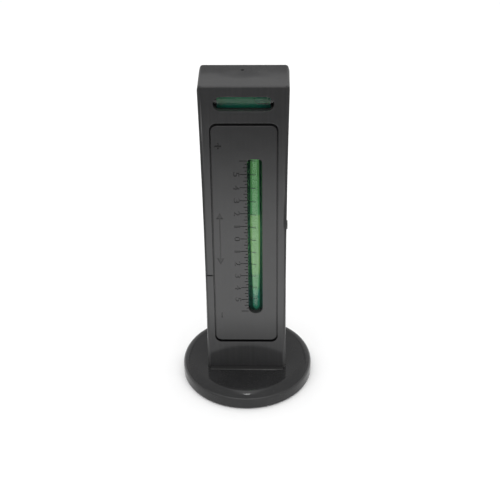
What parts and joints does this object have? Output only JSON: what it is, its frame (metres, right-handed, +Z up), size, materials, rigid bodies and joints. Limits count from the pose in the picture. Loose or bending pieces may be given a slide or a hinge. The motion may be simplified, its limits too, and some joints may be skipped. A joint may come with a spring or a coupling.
{
  "type": "camber caster gauge",
  "caption": "Magnetic wheel alignment gauge: a tapered black column on a round magnet base, with long bent spirit vials behind degree scales and a short level vial across the top.",
  "frame": {"origin": "centre of the underside of the round magnet base, on the surface that it stands on", "axes": "+Z up the column, -Y out of the camber face, +Y out of the caster face, +X to the right of the camber face"},
  "size_m": [0.05, 0.05, 0.127],
  "materials": {
    "black_plastic": "satin moulded",
    "clear_tube": "clear polished",
    "green_spirit": "clear liquid",
    "air": "clear",
    "black_steel": "gloss black paint",
    "ferrite": "ground ferrite",
    "plated_steel": "zinc plated",
    "brass": "turned"
  },
  "bodies": {
    "gauge": {"base_screw": "plated_steel", "camber_liquid": "green_spirit", "camber_panel": "black_plastic", "camber_vial": "clear_tube", "camber_vial_foot_plug": "clear_tube", "camber_vial_top_plug": "clear_tube", "caster_liquid": "green_spirit", "caster_panel": "black_plastic", "caster_vial": "clear_tube", "caster_vial_foot_plug": "clear_tube", "caster_vial_top_plug": "clear_tube", "column_shell": "black_plastic", "level_liquid": "green_spirit", "level_retainer": "black_plastic", "level_vial": "clear_tube", "level_vial_left_plug": "clear_tube", "level_vial_right_plug": "clear_tube", "lock_washer": "plated_steel", "magnet_cup": "black_steel", "pole_piece": "plated_steel", "ring_magnet": "ferrite", "threaded_insert": "brass", "vial_cradle": "black_plastic"},
    "camber_bubble": {"camber_bubble": "air"},
    "caster_bubble": {"caster_bubble": "air"},
    "level_bubble": {"level_bubble": "air"}
  },
  "joints": [
    {"name": "camber_bubble_travel", "type": "hinge", "parent": "gauge", "child": "camber_bubble", "pos_m": [0.0036, 0.30143, 0.0664], "axis": [1, 0, 0], "range_deg": [0, 12.49], "stiffness_Nm_per_rad": 0.004, "springref_deg": -11.46},
    {"name": "caster_bubble_travel", "type": "hinge", "parent": "gauge", "child": "caster_bubble", "pos_m": [-0.0036, -0.30143, 0.0664], "axis": [-1, 0, 0], "range_deg": [0, 12.49], "stiffness_Nm_per_rad": 0.004, "springref_deg": -11.46},
    {"name": "level_bubble_travel", "type": "slide", "parent": "gauge", "child": "level_bubble", "axis": [1, 0, 0], "range_m": [-0.0126, 0], "stiffness_N_per_m": 0.5, "springref_m": 0.0005}
  ]
}
